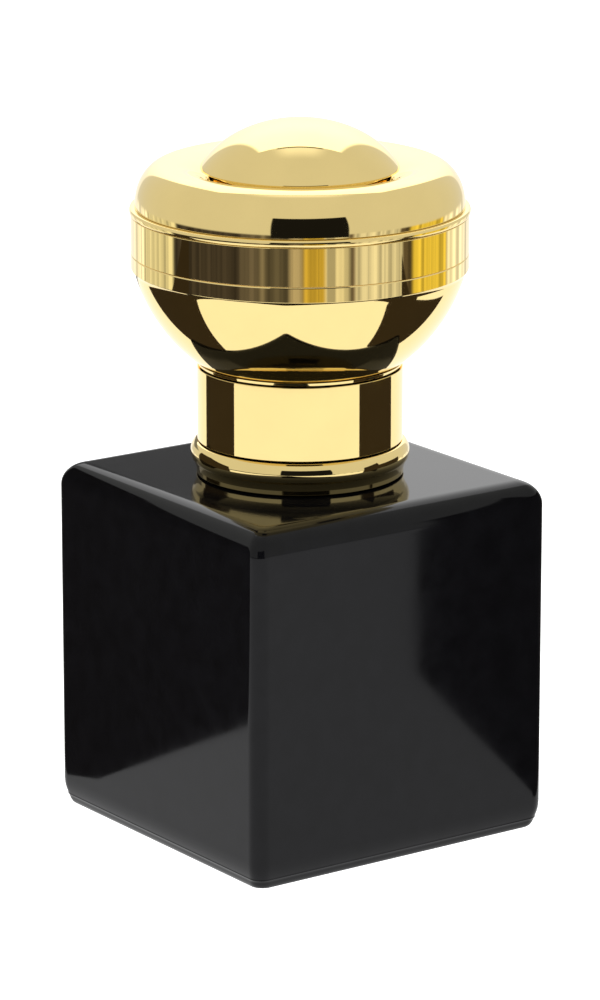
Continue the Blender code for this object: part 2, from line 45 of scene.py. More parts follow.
# Roundness of the turned pieces and of their fillets and arcs
TURN_STEPS = 144
FILLET_STEPS = 5
ARC_STEPS = 28
CORNER_STEPS = 10
SHOULDER_STEPS = 12

# Return spring: half the wire's thickness, its turns, and the steps along one turn and round the wire
SPRING_WIRE = 0.25 * MM
SPRING_TURNS = 7
COIL_STEPS = 32
WIRE_STEPS = 10

# Glass outlines in millimetres. The recess under the base is (half width, corner radius, height), and the
# heel with its mould seam is (inset from the side, corner radius, height).
GLASS_RECESS = (
    (20.0, 3.0, 0.80),
    (22.2, 3.0, 0.75),
    (23.0, 3.0, 0.40),
    (23.6, 3.0, 0.06),
    (24.0, 3.0, 0),
)
GLASS_CORNER = 2.4
GLASS_HEEL = (
    (1.90, 2.0, 0),
    (1.60, 2.1, 0.02),
    (1.25, 2.2, 0.14),
    (1.00, 2.2, 0.38),
    (0.80, 2.3, 0.75),
    (0.62, 2.3, 1.25),
    (0.52, 2.3, 1.68),
    (0.44, 2.3, 1.74),
    (0.42, 2.3, 1.80),
    (0.47, 2.3, 1.86),
    (0.40, 2.35, 2.05),
    (0.20, GLASS_CORNER, 2.8),
    (0.06, GLASS_CORNER, 3.6),
    (0, GLASS_CORNER, 4.6),
    (0, GLASS_CORNER, 5.0),
)

# How far a piece of the cap reaches across the CAD's gap to its neighbour, so that only a fine line is left
SEAM = 0.27 * MM

# Camera: a long lens a little above the cube, turned towards its -X and -Y faces
CAMERA_AZIMUTH = math.radians(-35.46)
CAMERA_DISTANCE = 0.8419
CAMERA_HEIGHT = 0.2848
CAMERA_PITCH = math.radians(15.2)
CAMERA_LENS = 184.9

# Colours in linear light
GOLD = (0.92, 0.72, 0.31)
BLACK_GLASS = (0.004, 0.004, 0.005)
SILVER = (0.78, 0.78, 0.79)
STEEL = (0.60, 0.60, 0.62)
IRON = (0.16, 0.16, 0.17)
WHITE_PLASTIC = (0.78, 0.78, 0.75)
CLEAR_PLASTIC = (0.66, 0.70, 0.70)
BLACK_PLASTIC = (0.018, 0.018, 0.020)
GREY_RUBBER = (0.20, 0.20, 0.21)

# What the mirror finish sees around the studio, in linear light
TENT = (0.76, 0.76, 0.73, 1)
OVERHEAD = (1.20, 1.20, 1.20, 1)
TENT_GAP = (0.16, 0.15, 0.12, 1)
WINDOW = (0.010, 0.010, 0.012, 1)
BACKDROP_LOW = (1.08, 1.08, 1.08, 1)
BACKDROP_HIGH = (2.05, 2.05, 2.05, 1)
FLOOR_BEYOND = (0.05, 0.045, 0.04, 1)

# Where the surroundings change, in the reflected ray's direction. Each pair runs from outside to inside.
FLOOR_FADE = (-0.34, -0.28)
FAR_FLOOR_FADE = (-0.12, 0.02)
HORIZON_FADE = (-0.16, -0.10)
WINDOW_SIDES = ((-0.36, -0.34), (0.60, 0.58))
WINDOW_HEIGHTS = ((-0.20, -0.19), (0.47, 0.45))
BACKDROP_FADE = (-0.05, 0.66)
BACKDROP_EDGES = ((0.41, 0.36), (0.385, 0.40))
OVERHEAD_EDGES = ((0.30, 0.10), (0.05, 0.36))
GAP_EDGES = ((0.24, 0.20), (0.36, 0.37))

# Studio cards: light of the sheet, the flags and the shade, and the height of the tall flags
SHEET_RADIUS = 0.345
SHEET_LIGHT = 1.17
FLAG_LIGHT = 0.035
FLAG_TOP = 0.080
SHADE_LIGHT = 0.22
WHITE = (1.0, 1.0, 1.0)
WARM = (1.0, 0.75, 0.5)

# Stripes just under the horizon: bearing in degrees where each starts, and its colour
STRIPE_EDGE = 0.003
ROOM_STRIPES = (
    (-180, (1.10, 1.10, 1.10)),
    (-132, (0.80, 0.80, 0.70)),
    (-95, (0.058, 0.050, 0.050)),
    (-41, (0.13, 0.115, 0.11)),
    (-28, (0.20, 0.18, 0.16)),
    (-22, (0.11, 0.10, 0.09)),
    (-7, (0.45, 0.40, 0.33)),
    (2, (0.60, 0.44, 0.08)),
    (17, (0.72, 0.70, 0.62)),
    (34, (0.20, 0.17, 0.15)),
    (38, (0.78, 0.78, 0.76)),
    (73, (0.10, 0.08, 0.06)),
    (82, (0.85, 0.68, 0.12)),
    (118, (1.10, 1.10, 1.10)),
)


# ---------------------------------------------------------------- shapes


def span(node):
    """Radius, bottom and top of a node that stands on the centre line."""
    low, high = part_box(node)
    return high.x, low.z, high.z


def arc(centre_radius, centre_height, radius, start, end, squash=1.0, steps=ARC_STEPS):
    """Profile points of an arc, or of an ellipse when squash isn't 1, between two angles in degrees."""
    points = []
    for index in range(steps + 1):
        angle = math.radians(start + (end - start) * index / steps)
        height = centre_height + radius * squash * math.sin(angle)
        points.append((centre_radius + radius * math.cos(angle), height, 0))
    return points


def fillet(before, here, after, radius):
    """Arc that rounds one corner of a profile, with a support point on each side of it."""
    to_before = (before - here).normalized()
    to_after = (after - here).normalized()
    half = to_before.angle(to_after) / 2
    reach = radius / math.tan(half)
    centre = here + (to_before + to_after).normalized() * radius / math.sin(half)
    start = here + to_before * reach - centre
    sweep = (math.pi - 2 * half) * (1 if start.cross(here + to_after * reach - centre) > 0 else -1)
    points = [here + to_before * reach * 1.25]
    for index in range(FILLET_STEPS + 1):
        angle = sweep * index / FILLET_STEPS
        turned = Vector(
            (
                start.x * math.cos(angle) - start.y * math.sin(angle),
                start.x * math.sin(angle) + start.y * math.cos(angle),
            )
        )
        points.append(centre + turned)
    points.append(here + to_after * reach * 1.25)
    return points


def rounded_profile(corners):
    """Points of a profile with its corners rounded, each by its own fillet."""
    points = []
    for index, (radius, height, size) in enumerate(corners):
        here = Vector((radius, height))
        if size == 0:
            points.append(here)
            continue
        before = Vector(corners[index - 1][:2])
        after = Vector(corners[(index + 1) % len(corners)][:2])
        points.extend(fillet(before, here, after, size))
    return points


def add_piece(name, mesh, material, body, nodes):
    """Add a visible piece that rides on a body and stands for its CAD nodes."""
    piece = bpy.data.objects.new(name, mesh)
    bpy.context.scene.collection.objects.link(piece)
    mesh.materials.append(material)
    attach(piece, body)
    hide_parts(*nodes)
    return piece


def turned_mesh(name, corners):
    """Outline of a turned piece at +X, closed into a loop unless it starts on the axis."""
    points = rounded_profile(corners)
    edges = [(index, index + 1) for index in range(len(points) - 1)]
    if corners[0][0] > 0:
        edges.append((len(points) - 1, 0))
    mesh = bpy.data.meshes.new(name)
    mesh.from_pydata([(point.x, 0, point.y) for point in points], edges, [])
    return mesh


def turn(piece):
    """Spin a piece's outline about its own Z."""
    screw = piece.modifiers.new("turn", "SCREW")
    screw.steps = TURN_STEPS
    screw.render_steps = TURN_STEPS
    screw.use_merge_vertices = True
    screw.merge_threshold = 1e-6
    screw.use_smooth_shade = True
    return piece


def turned_piece(node, corners, material, body):
    """Add a turned piece in place of one CAD node."""
    return turn(add_piece(node + "_finish", turned_mesh(node, corners), material, body, [node]))


def square_ring(half, corner, height):
    """One rounded square in a stack, with a support point just outside each end of its corner arcs."""
    support = min(0.3 * MM, (half - corner) / 2)
    points = []
    for quarter in range(4):
        turn_angle = quarter * math.pi / 2
        inner = half - corner
        local = [(half, inner - support)]
        for index in range(CORNER_STEPS + 1):
            angle = math.pi / 2 * index / CORNER_STEPS
            local.append((inner + corner * math.cos(angle), inner + corner * math.sin(angle)))
        local.append((inner - support, half))
        for x, y in local:
            points.append(
                (
                    x * math.cos(turn_angle) - y * math.sin(turn_angle),
                    x * math.sin(turn_angle) + y * math.cos(turn_angle),
                    height,
                )
            )
    return points


def stacked_mesh(name, rings):
    """Skin a stack of rounded squares, and close its two ends."""
    mesh = bpy.data.meshes.new(name)
    skin = bmesh.new()
    loops = [[skin.verts.new(point) for point in square_ring(*ring)] for ring in rings]
    count = len(loops[0])
    for lower, upper in zip(loops, loops[1:]):
        for index in range(count):
            following = (index + 1) % count
            skin.faces.new((lower[index], lower[following], upper[following], upper[index]))
    skin.faces.new(list(reversed(loops[0])))
    skin.faces.new(loops[-1])
    for face in skin.faces:
        face.smooth = True
    skin.to_mesh(mesh)
    skin.free()
    return mesh


def wire_loop(coil, centre, outward, wire):
    """One loop of points round a wire, in the plane of the axis and the outward direction."""
    loop = []
    for index in range(WIRE_STEPS):
        angle = 2 * math.pi * index / WIRE_STEPS
        offset = outward * math.cos(angle) * wire
        offset.z = math.sin(angle) * wire
        loop.append(coil.verts.new(centre + offset))
    return loop


def coil_mesh(name, outside, wire, bottom, top, turns):
    """Helical wire of a given outside radius, wound closer at both ends."""
    radius = outside - wire
    steps = COIL_STEPS * turns
    coil = bmesh.new()
    loops = []
    for index in range(steps + 1):
        share = index / steps
        angle = 2 * math.pi * turns * share
        outward = Vector((math.cos(angle), math.sin(angle), 0))
        climb = share - 0.6 * math.sin(2 * math.pi * share) / (2 * math.pi)
        centre = outward * radius
        centre.z = bottom + wire + (top - bottom - 2 * wire) * climb
        loops.append(wire_loop(coil, centre, outward, wire))
    for first, second in zip(loops, loops[1:]):
        for index in range(WIRE_STEPS):
            following = (index + 1) % WIRE_STEPS
            face = coil.faces.new((first[index], second[index], second[following], first[following]))
            face.smooth = True
    coil.faces.new(loops[0])
    coil.faces.new(list(reversed(loops[-1])))
    bmesh.ops.recalc_face_normals(coil, faces=coil.faces)
    mesh = bpy.data.meshes.new(name)
    coil.to_mesh(mesh)
    coil.free()
    return mesh


# ---------------------------------------------------------------- materials


def new_material(name, color, metallic):
    """Make a Principled material. Returns it with its node tree and shader."""
    material = bpy.data.materials.new(name)
    material.use_nodes = True
    tree = material.node_tree
    shader = tree.nodes["Principled BSDF"]
    shader.inputs["Base Color"].default_value = (*color, 1)
    shader.inputs["Metallic"].default_value = metallic
    return material, tree, shader


def noise(tree, vector, scale, detail):
    """Add a noise texture to a vector."""
    node = tree.nodes.new("ShaderNodeTexNoise")
    node.inputs["Scale"].default_value = scale
    node.inputs["Detail"].default_value = detail
    tree.links.new(vector, node.inputs["Vector"])
    return node.outputs["Fac"]


def spread(tree, value, low, high):
    """Map a noise value onto a range."""
    node = tree.nodes.new("ShaderNodeMapRange")
    node.inputs["From Min"].default_value = 0.3
    node.inputs["From Max"].default_value = 0.7
    node.inputs["To Min"].default_value = low
    node.inputs["To Max"].default_value = high
    tree.links.new(value, node.inputs["Value"])
    return node.outputs["Result"]


def tint(tree, shader, value, color, change):
    """Vary the base colour between two shades."""
    node = tree.nodes.new("ShaderNodeMix")
    node.data_type = "RGBA"
    node.inputs["A"].default_value = (*[channel * (1 - change) for channel in color], 1)
    node.inputs["B"].default_value = (*[min(channel * (1 + change), 1) for channel in color], 1)
    tree.links.new(value, node.inputs["Factor"])
    tree.links.new(node.outputs["Result"], shader.inputs["Base Color"])


def bump(tree, shader, value, strength, distance):
    """Raise the surface by a value."""
    node = tree.nodes.new("ShaderNodeBump")
    node.inputs["Strength"].default_value = strength
    node.inputs["Distance"].default_value = distance
    tree.links.new(value, node.inputs["Height"])
    tree.links.new(node.outputs["Normal"], shader.inputs["Normal"])


def object_vector(tree):
    """Position on the object, in metres."""
    return tree.nodes.new("ShaderNodeTexCoord").outputs["Object"]


def turning_vector(tree):
    """Distance from the axis and height, so that a texture follows a lathe's cuts."""
    parts = tree.nodes.new("ShaderNodeSeparateXYZ")
    tree.links.new(object_vector(tree), parts.inputs["Vector"])
    flat = tree.nodes.new("ShaderNodeCombineXYZ")
    tree.links.new(parts.outputs["X"], flat.inputs["X"])
    tree.links.new(parts.outputs["Y"], flat.inputs["Y"])
    length = tree.nodes.new("ShaderNodeVectorMath")
    length.operation = "LENGTH"
    tree.links.new(flat.outputs["Vector"], length.inputs[0])
    around = tree.nodes.new("ShaderNodeCombineXYZ")
    tree.links.new(length.outputs["Value"], around.inputs["X"])
    tree.links.new(parts.outputs["Z"], around.inputs["Z"])
    return around.outputs["Vector"]


def polished_metal(name, color, roughness, lines):
    """Polished metal with faint lathe lines and hand marks."""
    material, tree, shader = new_material(name, color, 1.0)
    cuts = noise(tree, turning_vector(tree), 5200, 3)
    marks = noise(tree, object_vector(tree), 140, 4)
    tint(tree, shader, spread(tree, marks, 0, 1), color, 0.02)
    tree.links.new(spread(tree, marks, roughness * 0.7, roughness * 1.4), shader.inputs["Roughness"])
    bump(tree, shader, cuts, lines, 2e-6)
    return material


def gloss_glass():
    """Opaque black glass: a fire-polished skin with slow waves and a faint film of dust."""
    material, tree, shader = new_material("black_glass", BLACK_GLASS, 0.0)
    shader.inputs["IOR"].default_value = 1.29
    place = object_vector(tree)
    waves = noise(tree, place, 45, 1)
    film = noise(tree, place, 260, 5)
    tint(tree, shader, spread(tree, film, 0, 1), BLACK_GLASS, 0.25)
    tree.links.new(spread(tree, film, 0.07, 0.10), shader.inputs["Roughness"])
    bump(tree, shader, waves, 0.25, 1.5e-4)
    return material


def moulded_plastic(name, color, roughness):
    """Moulded plastic with a fine spark-eroded grain."""
    material, tree, shader = new_material(name, color, 0.0)
    place = object_vector(tree)
    grain = noise(tree, place, 6000, 3)
    cloud = noise(tree, place, 220, 3)
    tint(tree, shader, spread(tree, cloud, 0, 1), color, 0.06)
    tree.links.new(spread(tree, cloud, roughness * 0.85, roughness * 1.15), shader.inputs["Roughness"])
    bump(tree, shader, grain, 0.2, 1e-5)
    return material


def cast_metal(name, color, roughness):
    """Rough metal with pits."""
    material, tree, shader = new_material(name, color, 1.0)
    place = object_vector(tree)
    pits = noise(tree, place, 1800, 6)
    tint(tree, shader, spread(tree, pits, 0, 1), color, 0.25)
    tree.links.new(spread(tree, pits, roughness * 0.8, roughness * 1.2), shader.inputs["Roughness"])
    bump(tree, shader, pits, 0.5, 5e-5)
    return material


# ---------------------------------------------------------------- bottle and collar


def round_ring(radius, height):
    """Rounded square so close to a circle that it passes for one."""
    return (radius, radius * 0.97, height)


def build_bottle(material):
    """Glass cube with a rounded shoulder, a mould seam above its heel, a crimp neck and a cavity."""
    half, _, neck_top = span("glass_bottle")
    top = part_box("collar_base_ring")[0].z - 0.3 * MM
    corner = GLASS_CORNER * MM
    shoulder = 4.0 * MM
    neck = 8.6 * MM
    bead = 10.0 * MM
    bore = 7.25 * MM
    cavity = half - 5.0 * MM
    ceiling = top - 5.0 * MM
    floor = 8.0 * MM

    rings = [(width * MM, radius * MM, height * MM) for width, radius, height in GLASS_RECESS]
    rings += [(half - inset * MM, radius * MM, height * MM) for inset, radius, height in GLASS_HEEL]
    rings.append((half, corner, top - shoulder - 0.5 * MM))
    for index in range(SHOULDER_STEPS + 1):
        angle = math.pi / 2 * index / SHOULDER_STEPS
        inset = shoulder * (1 - math.cos(angle))
        rings.append((half - inset, corner - 0.4 * inset, top - shoulder * (1 - math.sin(angle))))
    rings += [
        (half - shoulder - 0.4 * MM, 0.9 * MM, top),
        round_ring(12.5 * MM, top),
        round_ring(9.6 * MM, top),
        round_ring(8.8 * MM, top + 0.4 * MM),
        round_ring(neck, top + 1.2 * MM),
        round_ring(neck, neck_top - 4.4 * MM),
        round_ring(bead, neck_top - 2.8 * MM),
        round_ring(bead, neck_top - 0.6 * MM),
        round_ring(bead - 0.5 * MM, neck_top),
        round_ring(bore + 0.3 * MM, neck_top),
        round_ring(bore, neck_top - 0.4 * MM),
        round_ring(bore, ceiling + 1.0 * MM),
        round_ring(bore + 0.8 * MM, ceiling),
        (cavity - 5.0 * MM, 8.0 * MM, ceiling),
        (cavity - 1.2 * MM, 5.0 * MM, ceiling - 1.6 * MM),
        (cavity, 5.0 * MM, ceiling - 5.0 * MM),
        (cavity, 5.0 * MM, floor + 5.0 * MM),
        (cavity - 1.2 * MM, 5.0 * MM, floor + 1.6 * MM),
        (cavity - 5.0 * MM, 5.0 * MM, floor),
    ]
    mesh = stacked_mesh("glass_bottle", rings)
    add_piece("glass_bottle_finish", mesh, material, "bottle", ["glass_bottle"])


def build_collar(gold, plastic):
    """Bulged base ring, thin sleeve, and the plastic insert with the cap's spigot."""
    bulge, foot, ring_top = span("collar_base_ring")
    ring_bore = 14.5 * MM
    bulge_depth = 1.55 * MM
    bulge_centre = ring_top - 1.9 * MM
    ring = [
        (ring_bore, ring_top, 0.1 * MM),
        (bulge - 1.2 * MM, ring_top, 0.08 * MM),
        *arc(bulge - bulge_depth, bulge_centre, bulge_depth, 66, -52, squash=1.3, steps=24),
        (bulge - 0.95 * MM, foot + 0.8 * MM, 0.2 * MM),
        (bulge - 1.0 * MM, foot, 0.1 * MM),
        (ring_bore, foot, 0.1 * MM),
    ]
    turned_piece("collar_base_ring", ring, gold, "bottle")

    radius, bottom, top = span("collar_sleeve")
    wall = 0.6 * MM
    mouth = 12.8 * MM
    sleeve = [
        (mouth, top, 0.12 * MM),
        (radius, top, 0.08 * MM),
        (radius, bottom, 0.08 * MM),
        (radius - wall, bottom, 0.08 * MM),
        (radius - wall, top - wall, 0.3 * MM),
        (mouth, top - wall, 0.12 * MM),
    ]
    turned_piece("collar_sleeve", sleeve, gold, "bottle")

    skirt, bottom, spigot_top = span("collar_insert")
    shelf = top - wall - 0.3 * MM
    spigot = 12.2 * MM
    bore = 11.3 * MM
    insert = [
        (bore, spigot_top, 0.25 * MM),
        (spigot, spigot_top, 0.4 * MM),
        (spigot, spigot_top - 1.6 * MM, 0.1 * MM),
        (spigot - 0.15 * MM, spigot_top - 1.8 * MM, 0.05 * MM),
        (spigot - 0.15 * MM, spigot_top - 2.4 * MM, 0.05 * MM),
        (spigot, spigot_top - 2.6 * MM, 0.1 * MM),
        (spigot, shelf, 0.2 * MM),
        (skirt, shelf, 0.2 * MM),
        (skirt, bottom, 0.2 * MM),
        (skirt - 1.2 * MM, bottom, 0.2 * MM),
        (skirt - 1.2 * MM, shelf - 1.2 * MM, 0.2 * MM),
        (spigot + 0.3 * MM, shelf - 1.2 * MM, 0.2 * MM),
        (spigot + 0.3 * MM, bottom, 0.2 * MM),
        (bore, bottom, 0.2 * MM),
    ]
    turned_piece("collar_insert", insert, plastic, "bottle")


# ---------------------------------------------------------------- spray pump


def build_ferrule(silver):
    """Crimped aluminium cup over the neck, with its lower lip rolled under the bead."""
    radius, bottom, top = span("crimp_ferrule")
    hole = 4.8 * MM
    wall = 0.5 * MM
    lip = 9.2 * MM
    ferrule = [
        (hole, top, 0.1 * MM),
        (radius, top, 0.8 * MM),
        (radius, bottom, 0.25 * MM),
        (lip, bottom, 0.1 * MM),
        (lip, bottom + wall, 0.1 * MM),
        (radius - wall, bottom + wall, 0.15 * MM),
        (radius - wall, top - wall, 0.4 * MM),
        (hole, top - wall, 0.1 * MM),
    ]
    turned_piece("crimp_ferrule", ferrule, silver, "bottle")


def build_stem(plastic):
    """Guide that closes the pump, and the stem that comes up through it."""
    radius, bottom, top = span("stem_guide")
    hole = 1.8 * MM
    plug = 3.1 * MM
    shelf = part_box("crimp_ferrule")[1].z - 0.5 * MM - 0.1 * MM
    guide = [
        (hole, top, 0.1 * MM),
        (radius, top, 0.35 * MM),
        (radius, shelf, 0.1 * MM),
        (plug, shelf, 0.1 * MM),
        (plug, bottom, 0.1 * MM),
        (hole, bottom, 0.1 * MM),
    ]
    turned_piece("stem_guide", guide, plastic, "bottle")

    flange, bottom, top = span("pump_stem")
    radius = 1.5 * MM
    bore = 0.7 * MM
    flange_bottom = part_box("piston")[1].z + 0.3 * MM
    stem = [
        (bore, top, 0.1 * MM),
        (radius, top, 0.2 * MM),
        (radius, flange_bottom + 1.0 * MM, 0.1 * MM),
        (flange, flange_bottom + 1.0 * MM, 0.1 * MM),
        (flange, flange_bottom, 0.1 * MM),
        (radius, flange_bottom, 0.1 * MM),
        (radius, bottom, 0.1 * MM),
        (bore, bottom, 0.1 * MM),
    ]
    turned_piece("pump_stem", stem, plastic, "pump_stem")


def build_spring(steel):
    """Coil spring between its seat and the piston."""
    radius, bottom, top = span("return_spring")
    mesh = coil_mesh("return_spring", radius, SPRING_WIRE, bottom, top, SPRING_TURNS)
    piece = add_piece("return_spring_finish", mesh, steel, "bottle", ["return_spring"])
    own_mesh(piece)


def cross_bore(name, radius, start, end, height):
    """Cylinder that lies along -Y and cuts the nozzle's window. It isn't shown."""
    mesh = bpy.data.meshes.new(name)
    rod = bmesh.new()
    bmesh.ops.create_cone(
        rod,
        cap_ends=True,
        segments=48,
        radius1=radius,
        radius2=radius,
        depth=end - start,
    )
    for face in rod.faces:
        face.smooth = len(face.verts) == 4
    rod.to_mesh(mesh)
    rod.free()
    cutter = bpy.data.objects.new(name, mesh)
    bpy.context.scene.collection.objects.link(cutter)
    cutter.rotation_euler.x = math.pi / 2
    cutter.location = (0, -(start + end) / 2, height)
    cutter.hide_render = True
    cutter.hide_viewport = True
    return cutter


def cut(piece, cutter):
    """Cut a hole in a piece."""
    boolean = piece.modifiers.new("cut", "BOOLEAN")
    boolean.object = cutter
    boolean.operation = "DIFFERENCE"


def build_actuator(gold, plastic):
    """Plastic button under a gold shell with a finger dish, and the nozzle insert in its window."""
    button_radius, bottom, top = span("actuator_button")
    nozzle_low, nozzle_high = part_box("nozzle_insert")
    nozzle_height = (nozzle_low.z + nozzle_high.z) / 2
    skirt_bore = 5.2 * MM
    socket = 1.8 * MM
    stem_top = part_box("pump_stem")[1].z
    button = [
        (0, top, 0),
        (button_radius, top, 0.4 * MM),
        (button_radius, bottom, 0.2 * MM),
        (skirt_bore, bottom, 0.2 * MM),
        (skirt_bore, bottom + 3.5 * MM, 0.2 * MM),
        (socket, bottom + 3.5 * MM, 0.2 * MM),
        (socket, stem_top + 0.3 * MM, 0.1 * MM),
        (0, stem_top + 0.3 * MM, 0),
    ]
    piece = turned_piece("actuator_button", button, plastic, "actuator")
    bore = cross_bore("nozzle_bore", 1.6 * MM, 4.0 * MM, button_radius + 2 * MM, nozzle_height)
    cut(piece, bore)

    radius, bottom, top = span("actuator_shell")
    wall = 0.5 * MM
    dish = 0.35 * MM
    shell = [
        (0, top - dish, 0),
        (2.0 * MM, top - dish * 0.93, 0),
        (4.0 * MM, top - dish * 0.68, 0),
        (5.6 * MM, top - dish * 0.30, 0),
        (6.6 * MM, top - 0.02 * MM, 0),
        (radius, top, 0.7 * MM),
        (radius, bottom, 0.1 * MM),
        (radius - wall, bottom, 0.1 * MM),
        (radius - wall, top - wall, 0.3 * MM),
        (0, top - wall, 0),
    ]
    piece = turned_piece("actuator_shell", shell, gold, "actuator")
    window = cross_bore("nozzle_window", 2.0 * MM, button_radius - 1 * MM, radius + 1 * MM, nozzle_height)
    cut(piece, window)

    nozzle_radius = nozzle_high.x
    front = -nozzle_low.y
    back = -nozzle_high.y
    insert = [
        (0.25 * MM, front - 0.25 * MM, 0.05 * MM),
        (0.75 * MM, front, 0.1 * MM),
        (nozzle_radius, front, 0.15 * MM),
        (nozzle_radius, back, 0.1 * MM),
        (0.9 * MM, back, 0.1 * MM),
        (0.9 * MM, front - 0.8 * MM, 0.1 * MM),
        (0.25 * MM, front - 0.8 * MM, 0.05 * MM),
    ]
    piece = turned_piece("nozzle_insert", insert, plastic, "actuator")
    piece.rotation_euler.x = math.pi / 2
    piece.location.z = nozzle_height


# ---------------------------------------------------------------- cap


def build_cap_shell(gold):
    """Bowl, band and rim of the cap."""
    band, bottom, joint = span("cap_bowl")
    wall = 1.5 * MM
    sphere = 28.9 * MM
    sphere_height = 103.9 * MM
    band_bottom = 96.6 * MM
    lip = 17.3 * MM
    lip_top = 80.7 * MM
    mouth = 14.0 * MM
    cove_top = lip_top + 0.7 * MM
    top_angle = -math.degrees(math.asin((sphere_height - band_bottom) / sphere))
    cove_angle = -math.degrees(math.asin((sphere_height - cove_top) / sphere))
    inner = sphere - wall
    inner_top = -math.degrees(math.asin((sphere_height - band_bottom) / inner))
    inner_bottom = -math.degrees(math.acos((mouth + 0.2 * MM) / inner))
    bowl = [
        (band - wall, joint + SEAM, 0.1 * MM),
        (band, joint + SEAM, 0.22 * MM),
        (band, band_bottom + 0.25 * MM, 0.12 * MM),
        *arc(0, sphere_height, sphere, top_angle, cove_angle),
        (lip + 0.05 * MM, lip_top, 0.2 * MM),
        (lip - 0.13 * MM, bottom, 0.04 * MM),
        (mouth, bottom, 0.12 * MM),
        *arc(0, sphere_height, inner, inner_bottom, inner_top),
    ]
    turned_piece("cap_bowl", bowl, gold, "cap")

    band, bottom, top = span("cap_band")
    ring = [
        (band - wall, top + SEAM, 0.1 * MM),
        (band - 0.02 * MM, top + SEAM, 0.1 * MM),
        (band - 0.02 * MM, bottom, 0.03 * MM),
        (band - wall, bottom, 0.1 * MM),
    ]
    turned_piece("cap_band", ring, gold, "cap")

    rim, bottom, top = span("cap_rim")
    width = 3.6 * MM
    ring = [
        (rim - width, top, 0.1 * MM),
        (rim, top, 0.45 * MM),
        (rim, bottom, 0.45 * MM),
        (rim - width, bottom, 0.1 * MM),
    ]
    turned_piece("cap_rim", ring, gold, "cap")


def build_cap_top(gold):
    """Rounded shoulder and domed button of the cap."""
    outer, bottom, crest = span("cap_shoulder")
    outer_width = 4.9 * MM
    inner_width = 9.0 * MM
    inner_angle = 146
    wall = 1.4 * MM
    centre = outer - outer_width
    height = crest - bottom
    under_outer = outer_width - wall
    under_inner = inner_width - wall
    under_height = height - wall
    shoulder = [
        *arc(centre, bottom, inner_width, inner_angle, 90, squash=height / inner_width),
        *arc(centre, bottom, outer_width, 90, 0, squash=height / outer_width)[1:],
        (outer, bottom - SEAM, 0.06 * MM),
        (outer - wall, bottom - SEAM, 0.06 * MM),
        *arc(centre, bottom, under_outer, 5, 90, squash=under_height / under_outer),
        *arc(centre, bottom, under_inner, 90, inner_angle, squash=under_height / under_inner)[1:],
    ]
    turned_piece("cap_shoulder", shoulder, gold, "cap")

    radius, stud_bottom, apex = span("cap_dome")
    edge = 113.9 * MM
    land = 0.4 * MM
    oval_radius = 18.5 * MM
    oval_height = 13.86 * MM
    edge_angle = math.degrees(math.acos((radius - 0.12 * MM) / oval_radius))
    plinth = 15.3 * MM
    plinth_bottom = 111.0 * MM
    stud = 6.0 * MM
    squash = oval_height / oval_radius
    oval = arc(0, apex - oval_height, oval_radius, 90, edge_angle, squash=squash, steps=36)
    dome = [
        (0, apex, 0),
        *oval[1:],
        (radius - 0.02 * MM, edge - 0.12 * MM, 0.08 * MM),
        (radius - 0.02 * MM, edge - land, 0.1 * MM),
        (plinth, edge - land, 0.15 * MM),
        (plinth, plinth_bottom, 0.2 * MM),
        (stud, plinth_bottom, 0.2 * MM),
        (stud, stud_bottom, 0.2 * MM),
        (0, stud_bottom, 0),
    ]
    turned_piece("cap_dome", dome, gold, "cap")


def build_cap_liner(plastic):
    """Plastic cup inside the cap, with a lead-in at its mouth and a grip groove."""
    radius, bottom, top = span("cap_liner")
    inner = 12.5 * MM
    ceiling = top - 1.2 * MM
    liner = [
        (0, top, 0),
        (radius, top, 0.3 * MM),
        (radius, bottom, 0.15 * MM),
        (inner + 0.4 * MM, bottom, 0.1 * MM),
        (inner, bottom + 0.8 * MM, 0.2 * MM),
        (inner, bottom + 3.0 * MM, 0.1 * MM),
        (inner + 0.2 * MM, bottom + 3.3 * MM, 0.1 * MM),
        (inner + 0.2 * MM, bottom + 4.3 * MM, 0.1 * MM),
        (inner, bottom + 4.6 * MM, 0.1 * MM),
        (inner, ceiling, 0.5 * MM),
        (0, ceiling, 0),
    ]
    turned_piece("cap_liner", liner, plastic, "cap")


# ---------------------------------------------------------------- hidden CAD pieces


def dress(node, material):
    """Give a CAD node that stays a finished material."""
    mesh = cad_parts[node].data
    mesh.materials.clear()
    mesh.materials.append(material)


# ---------------------------------------------------------------- studio cards and floor


def emitter(name, color, strength):
    """Material that only glows."""
    material = bpy.data.materials.new(name)
    material.use_nodes = True
    tree = material.node_tree
    tree.nodes.clear()
    glow = tree.nodes.new("ShaderNodeEmission")
    glow.inputs["Color"].default_value = (*color, 1)
    glow.inputs["Strength"].default_value = strength
    output = tree.nodes.new("ShaderNodeOutputMaterial")
    tree.links.new(glow.outputs["Emission"], output.inputs["Surface"])
    return material


def glowing_sheet(name, shape, color, strength):
    """Turn a flat shape into a studio piece that reflections see but the camera doesn't."""
    mesh = bpy.data.meshes.new(name)
    shape.to_mesh(mesh)
    shape.free()
    mesh.materials.append(emitter(name, color, strength))
    piece = bpy.data.objects.new(name, mesh)
    bpy.context.scene.collection.objects.link(piece)
    piece.parent = studio
    piece.visible_camera = False
    piece.visible_shadow = False
    return piece


def floor_disc(name, radius, color, strength):
    """Lay a round sheet under the bottle."""
    shape = bmesh.new()
    bmesh.ops.create_circle(shape, cap_ends=True, segments=96, radius=radius)
    return glowing_sheet(name, shape, color, strength)


def four_sided(name, corners, color, strength):
    """Place a flat card by its corners."""
    shape = bmesh.new()
    shape.faces.new([shape.verts.new(corner) for corner in corners])
    return glowing_sheet(name, shape, color, strength)


